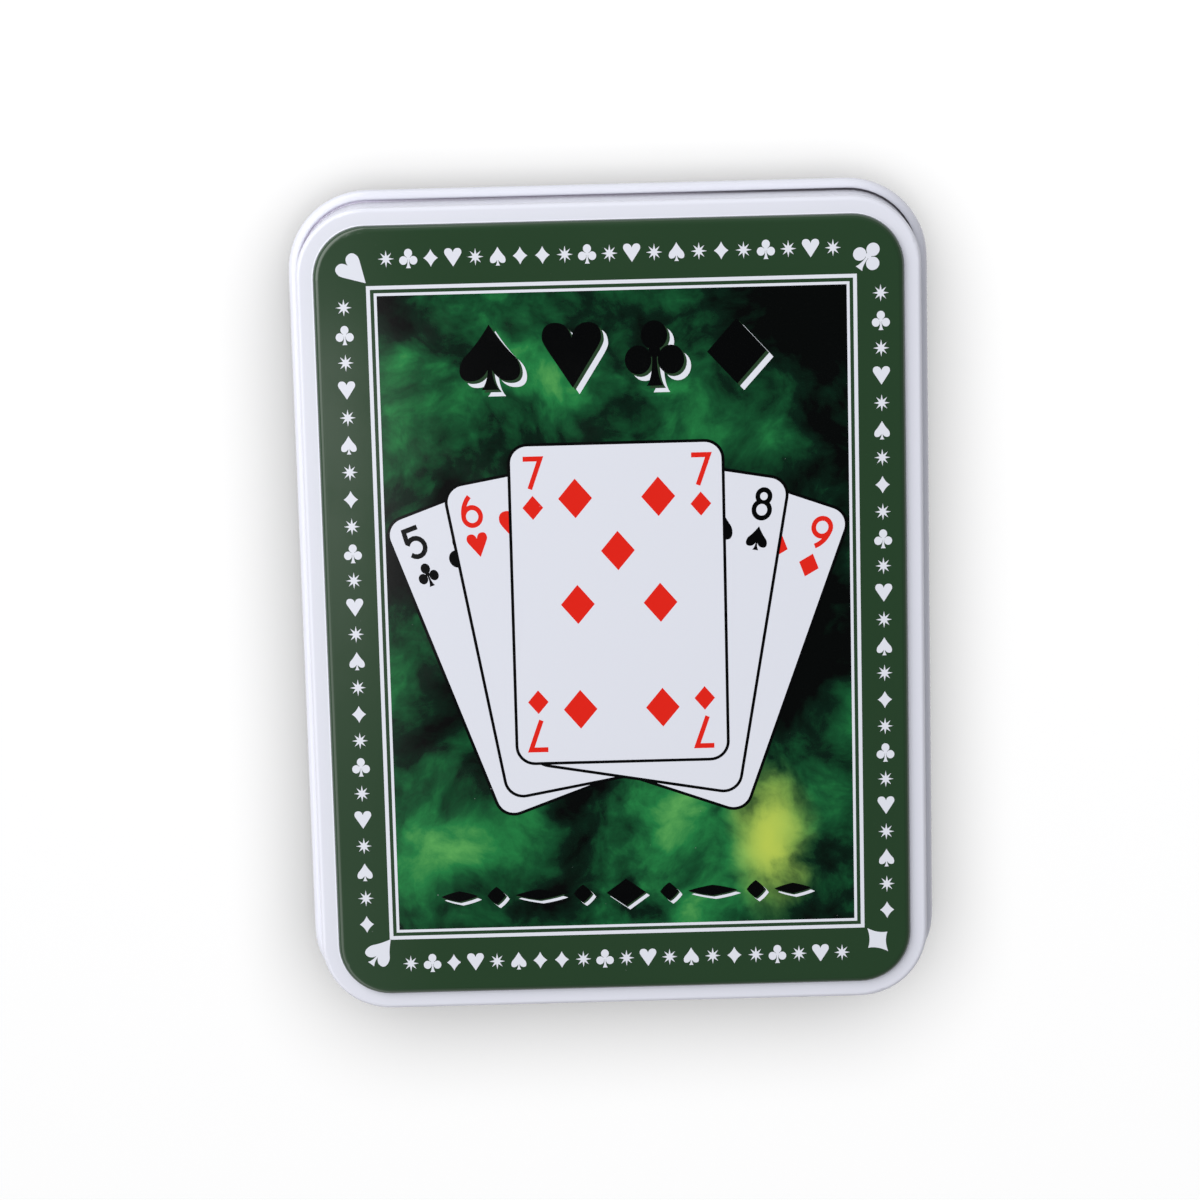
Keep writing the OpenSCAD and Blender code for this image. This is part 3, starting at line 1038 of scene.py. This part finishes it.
def deck_tree():
    """Stacks copies of a card at a pitch, each slipped and turned a little, and inks its faces."""
    tree, given, out = new_tree("stack_of_cards", {
        "Cards": ("NodeSocketInt", 13),
        "Pitch": ("NodeSocketFloat", 0.00031),
        "Slip": ("NodeSocketFloat", 0.0002),
        "Turn": ("NodeSocketFloat", 0.003),
        "Seed": ("NodeSocketInt", 1),
        "Edge": ("NodeSocketMaterial", None),
        "Print": ("NodeSocketMaterial", None),
    })
    step = node(tree, "ShaderNodeCombineXYZ", {"Z": given["Pitch"]}).outputs[0]
    row = node(tree, "GeometryNodeMeshLine", {"Count": given["Cards"], "Offset": step}, mode="OFFSET")

    def random_vector(x, y, z, offset):
        """A random vector between minus and plus the given reach."""
        high = node(tree, "ShaderNodeCombineXYZ", {"X": x, "Y": y, "Z": z}).outputs[0]
        low = vector_maths(tree, "SCALE", high, -1.0)
        made = node(tree, "FunctionNodeRandomValue", data_type="FLOAT_VECTOR")
        vectors = [s for s in made.inputs if s.type == "VECTOR"]
        tree.links.new(low, vectors[0])
        tree.links.new(high, vectors[1])
        tree.links.new(maths(tree, "ADD", given["Seed"], offset), made.inputs["Seed"])
        return [s for s in made.outputs if s.type == "VECTOR"][0]

    slipped = node(tree, "GeometryNodeSetPosition", {
        "Geometry": row.outputs[0],
        "Offset": random_vector(given["Slip"], given["Slip"], 0.0, 0.0),
    })
    stack = node(tree, "GeometryNodeInstanceOnPoints", {
        "Points": slipped.outputs[0],
        "Instance": given["Geometry"],
        "Rotation": random_vector(0.0, 0.0, given["Turn"], 50.0),
    })
    real = node(tree, "GeometryNodeRealizeInstances", {"Geometry": stack.outputs[0]})
    edged = node(tree, "GeometryNodeSetMaterial", {
        "Geometry": real.outputs[0],
        "Material": given["Edge"],
    })
    normal = node(tree, "GeometryNodeInputNormal")
    upright = node(tree, "ShaderNodeSeparateXYZ", {0: normal.outputs[0]}).outputs["Z"]
    top = node(tree, "FunctionNodeCompare", {0: upright, 1: 0.9}, operation="GREATER_THAN")
    inked = node(tree, "GeometryNodeSetMaterial", {
        "Geometry": edged.outputs[0],
        "Selection": top.outputs[0],
        "Material": given["Print"],
    })
    tree.links.new(inked.outputs[0], out)
    return tree


def card_mesh():
    """One card, centred, with its underside at zero."""
    outline = rounded_rectangle(CARD_L / MM, CARD_W / MM, CARD_R / MM, 6)
    return printed_mesh("card", [(outline, 0)], 0.0, CARD_T)


def make_decks():
    """Both decks, a piece for each suit of each deck."""
    tree = deck_tree()
    for deck, side in (("a", 1), ("b", -1)):
        for order, suit in enumerate(("jokers", "spades", "hearts", "clubs", "diamonds")):
            name = f"deck_{deck}_{suit}"
            low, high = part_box(name)
            count = round((high.z - low.z) / CARD_PITCH)
            piece = grown(name + "_dressed", card_mesh(), tree, Cards=count, Pitch=CARD_PITCH,
                          Slip=CARD_SLIP, Turn=CARD_TURN, Seed=10 * order + (side + 1),
                          Edge=card_edge, Print=BACKS[deck])
            piece.data.transform(Matrix.Translation((0, side * DECK_Y, low.z)))
            finish_piece(piece, "base", "card_plastic", name)


make_decks()


# Tray

TRAY_SOFTNESS = 0.2 * MM


def make_tray():
    """The thermoformed tray: the CAD shape with the soft edges that a drawn plastic sheet has."""
    mesh = merged_copy("card_tray", "card_tray_dressed")
    work = bmesh.new()
    work.from_mesh(mesh)
    bmesh.ops.dissolve_limit(work, angle_limit=math.radians(1), verts=work.verts, edges=work.edges)
    mesh = bpy.data.meshes.new("card_tray_dressed")
    work.to_mesh(mesh)
    work.free()
    mesh.materials.append(tray_plastic)
    piece = new_object("card_tray_dressed", mesh)
    bevel = piece.modifiers.new("soft_edges", "BEVEL")
    bevel.width = TRAY_SOFTNESS
    bevel.segments = 3
    bevel.limit_method = "ANGLE"
    bevel.angle_limit = math.radians(40)
    mesh.shade_smooth()
    mesh.set_sharp_from_angle(angle=math.radians(50))
    return finish_piece(piece, "base", "tray_plastic", "card_tray")


make_tray()


# Studio

def make_floor():
    """A pale floor, lighter to the camera than to the tin, so that it shows white round a soft shadow."""
    work = bmesh.new()
    bmesh.ops.create_grid(work, x_segments=1, y_segments=1, size=6.0)
    mesh = bpy.data.meshes.new("floor")
    work.to_mesh(mesh)
    work.free()
    material = bpy.data.materials.new("pale_floor")
    material.use_nodes = True
    tree = material.node_tree
    tree.nodes.clear()
    seen = node(tree, "ShaderNodeLightPath").outputs
    shown = maths(tree, "MAXIMUM", seen["Is Camera Ray"], seen["Is Glossy Ray"])
    shown = maths(tree, "MAXIMUM", shown, seen["Is Transmission Ray"])
    paper = node(tree, "ShaderNodeBsdfDiffuse", {"Color": mixed(tree, shown, FLOOR_BOUNCE, FLOOR_COLOUR)})
    node(tree, "ShaderNodeOutputMaterial", {"Surface": paper.outputs[0]})
    mesh.materials.append(material)
    made = new_object("floor", mesh)
    return made


FLOOR_COLOUR = (0.12, 0.12, 0.12)
FLOOR_BOUNCE = (0.040, 0.040, 0.0415)
floor = make_floor()


def area_lamp(name, place, size, power, target=(0, 0, 0.01)):
    """A round lamp that faces a target."""
    lamp = bpy.data.lights.new(name, "AREA")
    lamp.shape = "DISK"
    lamp.size = size
    lamp.energy = power
    made = bpy.data.objects.new(name, lamp)
    scene.collection.objects.link(made)
    made.location = place
    made.rotation_euler = (Vector(target) - Vector(place)).to_track_quat("-Z", "Y").to_euler()
    return made


def link_floor(lamp, state):
    """Lets a lamp reach only the floor, or everything but the floor."""
    receivers = bpy.data.collections.new(lamp.name + "_receivers")
    receivers.objects.link(floor)
    receivers.collection_objects[0].light_linking.link_state = state
    lamp.light_linking.receiver_collection = receivers


# The lamps: place, width in metres and power in watts
KEY_LAMP = ((-0.46, 0.36, 0.745), 1.3, 9.15)
FLOOR_LAMP = ((0.0, 0.5, 2.0), 2.8, 504.0)

key = area_lamp("key_lamp", *KEY_LAMP)
key.visible_glossy = False
link_floor(key, "EXCLUDE")
floor_lamp = area_lamp("floor_lamp", *FLOOR_LAMP)
link_floor(floor_lamp, "INCLUDE")


def make_world():
    """A studio to look at, with grey walls, a dark ceiling and two windows, and an even light."""
    world = bpy.data.worlds.new("studio")
    scene.world = world
    world.use_nodes = True
    tree = world.node_tree
    tree.nodes.clear()
    direction = node(tree, "ShaderNodeTexCoord").outputs["Generated"]
    x, y, height = node(tree, "ShaderNodeSeparateXYZ", {"Vector": direction}).outputs
    looks = mixed(tree, ramp(tree, height, WALL_TOP, CEILING_FROM), WALLS, CEILING)
    above = maths(tree, "MAXIMUM", height, 0.05)
    across = maths(tree, "DIVIDE", x, above)
    along = maths(tree, "DIVIDE", y, above)
    lit = maths(tree, "MULTIPLY", ramp(tree, along, *WINDOW_TOP), ramp(tree, along, *WINDOW_BOTTOM))
    lit = maths(tree, "MULTIPLY_ADD", lit, 1 - WINDOW_SPILL, WINDOW_SPILL)
    pane = maths(tree, "MULTIPLY", ramp(tree, across, *WINDOW_RIGHT), ramp(tree, across, *WINDOW_LEFT))
    looks = mixed(tree, maths(tree, "MULTIPLY", pane, lit), looks, WINDOW)
    side = maths(tree, "MULTIPLY", ramp(tree, across, *SIDE_RIGHT), ramp(tree, across, *SIDE_LEFT))
    side = maths(tree, "MULTIPLY", side, ramp(tree, y, *SIDE_FADE))
    looks = mixed(tree, side, looks, SIDE_WINDOW)
    seen = node(tree, "ShaderNodeLightPath").outputs
    mirrored_rays = maths(tree, "MAXIMUM", seen["Is Glossy Ray"], seen["Is Transmission Ray"])
    lean = vector_maths(tree, "DOT_PRODUCT", direction, AMBIENT_LEAN)
    ambient = vector_maths(tree, "SCALE", AMBIENT, maths(tree, "ADD", lean, 1.0))
    shown = mixed(tree, mirrored_rays, ambient, looks)
    shown = mixed(tree, seen["Is Camera Ray"], shown, WHITE_ROOM)
    light = node(tree, "ShaderNodeBackground", {"Color": shown})
    node(tree, "ShaderNodeOutputWorld", {"Surface": light.outputs[0]})


AMBIENT = (0.44, 0.445, 0.465)
# How much stronger the even light is from +X, +Y and above
AMBIENT_LEAN = (-0.18, 0.42, 0.0)
WHITE_ROOM = (1.0, 1.0, 1.0)
WALLS = (0.26, 0.26, 0.27)
CEILING = (0.03, 0.03, 0.035)
WALL_TOP = 0.45
CEILING_FROM = 0.85
# The edges of the window overhead as slopes from the zenith, each from dark to bright
WINDOW = (1.7, 1.7, 1.7)
WINDOW_RIGHT = (-0.044, -0.060)
WINDOW_LEFT = (-0.34, -0.28)
WINDOW_TOP = (-0.125, -0.155)
WINDOW_BOTTOM = (-0.270, -0.150)
WINDOW_SPILL = 0.2
# The tall window in the left wall
SIDE_WINDOW = (4.4, 4.4, 4.4)
SIDE_RIGHT = (-0.12, -0.90)
SIDE_LEFT = (-4.0, -2.5)
SIDE_FADE = (-0.20, -0.08, 0.46, 1.0)
make_world()

# The camera: its place in metres, its turn in degrees, and its lens in millimetres
CAMERA_PLACE = (-0.0045, 0.1347, 0.6587)
CAMERA_TURN = (-11.805, -0.465, -1.417)
FOCAL_LENGTH = 121.8
SENSOR_WIDTH = 36


def make_camera():
    """The photograph's camera, over the tin and a little towards its top edge."""
    lens = bpy.data.cameras.new("camera")
    lens.sensor_fit = "HORIZONTAL"
    lens.sensor_width = SENSOR_WIDTH
    lens.lens = FOCAL_LENGTH
    made = bpy.data.objects.new("camera", lens)
    scene.collection.objects.link(made)
    made.location = CAMERA_PLACE
    made.rotation_euler = [math.radians(a) for a in CAMERA_TURN]
    scene.camera = made


make_camera()
scene.view_settings.view_transform = "Standard"
